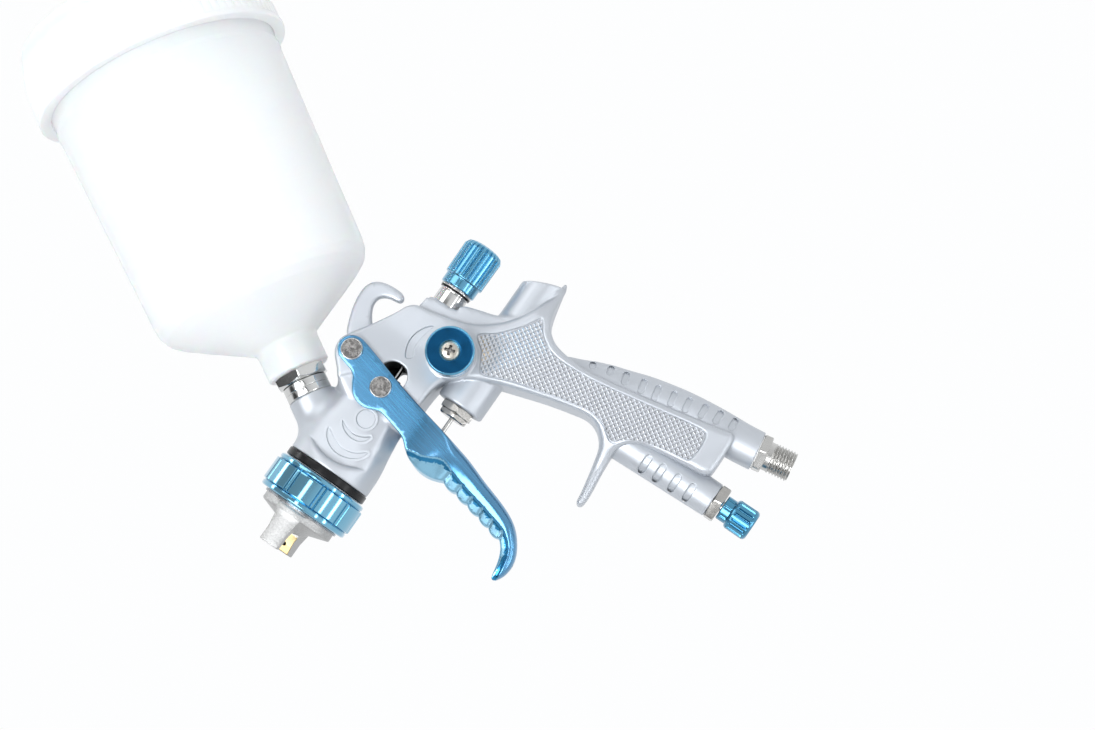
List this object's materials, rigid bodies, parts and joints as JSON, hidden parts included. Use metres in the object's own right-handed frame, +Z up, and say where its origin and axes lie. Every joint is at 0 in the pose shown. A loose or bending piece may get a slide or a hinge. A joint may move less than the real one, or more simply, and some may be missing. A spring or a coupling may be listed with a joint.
{
  "type": "hvlp spray gun",
  "caption": "Gravity-feed HVLP spray gun: cast body and grip, leaning top cup with screw lid, horned air cap, trigger, fluid, fan and air control knobs, quarter-inch air inlet.",
  "frame": {"origin": "the spray outlet: on the spray axis at the front face of the air cap", "axes": "-Y is the spray direction, +Z is up with the cup above and the grip below, +X is the gun's left side"},
  "size_m": [0.113, 0.1969, 0.3687],
  "materials": {
    "cast_body": "satin nickel-plated casting",
    "cap_metal": "bead-blasted, bright inner faces",
    "blue_anodised": "gloss blue anodised",
    "blue_anodised_brushed": "brushed blue anodised",
    "chrome": "polished chrome",
    "stainless": "turned",
    "spring_steel": "drawn wire",
    "screw_steel": "zinc-plated",
    "rivet_steel": "dark polished",
    "brass": "turned",
    "black_plastic": "gloss",
    "ptfe": "plain",
    "cup_plastic": "translucent moulded",
    "lid_plastic": "translucent moulded",
    "filter_mesh": "fine mesh",
    "seal_rubber": "plain"
  },
  "bodies": {
    "body": {"gun_body": "cast_body", "head_seal_ring": "black_plastic", "air_distributor": "black_plastic", "fluid_nozzle": "stainless", "needle_packing": "ptfe", "needle_packing_nut": "brass", "needle_spring": "spring_steel", "guide_sleeve": "chrome", "sleeve_lock_rings": "spring_steel", "fan_valve_bushing": "brass", "trigger_pivot_pin": "rivet_steel", "trigger_pivot_screw": "rivet_steel", "air_valve_nut": "chrome", "air_valve_packing": "ptfe", "air_valve_seat": "brass", "air_valve_spring": "spring_steel", "air_valve_plug": "chrome", "fluid_inlet_fitting": "chrome", "air_inlet_nipple": "chrome", "inlet_seal": "seal_rubber", "air_control_body": "chrome"},
    "air_cap": {"air_cap": "cap_metal"},
    "cap_ring": {"air_cap_ring": "blue_anodised", "cap_snap_ring": "spring_steel"},
    "needle": {"fluid_needle": "stainless", "needle_collar": "chrome", "needle_spring_seat": "stainless"},
    "fluid_knob": {"fluid_knob": "blue_anodised"},
    "fan_knob": {"fan_knob": "blue_anodised", "fan_knob_screw": "screw_steel", "fan_valve_spindle": "brass"},
    "trigger": {"trigger": "blue_anodised_brushed", "needle_pull_pins": "rivet_steel"},
    "air_valve": {"air_valve_stem": "stainless", "air_valve_poppet": "brass"},
    "air_control": {"air_control_knob": "blue_anodised", "air_control_stem": "brass", "air_control_oring": "seal_rubber"},
    "cup": {"cup": "cup_plastic", "cup_nut": "chrome", "cup_filter": "filter_mesh"},
    "lid": {"cup_lid": "lid_plastic", "lid_gasket": "seal_rubber", "lid_vent_plug": "lid_plastic"}
  },
  "joints": [
    {"name": "trigger_pull", "type": "hinge", "parent": "body", "child": "trigger", "pos_m": [0, 0.0757, 0.0192], "axis": [1, 0, 0], "range_deg": [0, 12], "stiffness_Nm_per_rad": 1.2, "springref_deg": -8.59},
    {"name": "needle_slide", "type": "slide", "parent": "body", "child": "needle", "axis": [0, 1, 0], "range_m": [0, 0.0043]},
    {"name": "air_valve_slide", "type": "slide", "parent": "body", "child": "air_valve", "axis": [0, 1, 0], "range_m": [0, 0.0109]},
    {"name": "air_cap_turn", "type": "hinge", "parent": "body", "child": "air_cap", "pos_m": [0, 0, 0], "axis": [0, 1, 0], "range_deg": [-90, 90]},
    {"name": "cap_ring_turn", "type": "hinge", "parent": "body", "child": "cap_ring", "pos_m": [0, 0.017, 0], "axis": [0, 1, 0], "continuous": true},
    {"name": "fluid_knob_turn", "type": "hinge", "parent": "body", "child": "fluid_knob", "pos_m": [0, 0.133, 0], "axis": [0, 1, 0], "range_deg": [0, 720]},
    {"name": "fan_knob_turn", "type": "hinge", "parent": "body", "child": "fan_knob", "pos_m": [0.02, 0.0972, -0.0159], "axis": [1, 0, 0], "range_deg": [0, 300]},
    {"name": "air_control_turn", "type": "hinge", "parent": "body", "child": "air_control", "pos_m": [0, 0.1098, -0.15], "axis": [0, 0, 1], "range_deg": [0, 540]},
    {"name": "cup_turn", "type": "hinge", "parent": "body", "child": "cup", "pos_m": [0, 0.059, 0.03897], "axis": [0, 0.5, 0.866], "continuous": true},
    {"name": "lid_lift", "type": "slide", "parent": "cup", "child": "lid", "axis": [0, 0.5, 0.866], "range_m": [0, 0.04]}
  ],
  "couplings": [
    {"joint": "needle_slide", "follows": "trigger_pull", "m_per_rad": 0.0199},
    {"joint": "air_valve_slide", "follows": "trigger_pull", "m_per_rad": 0.0514}
  ]
}
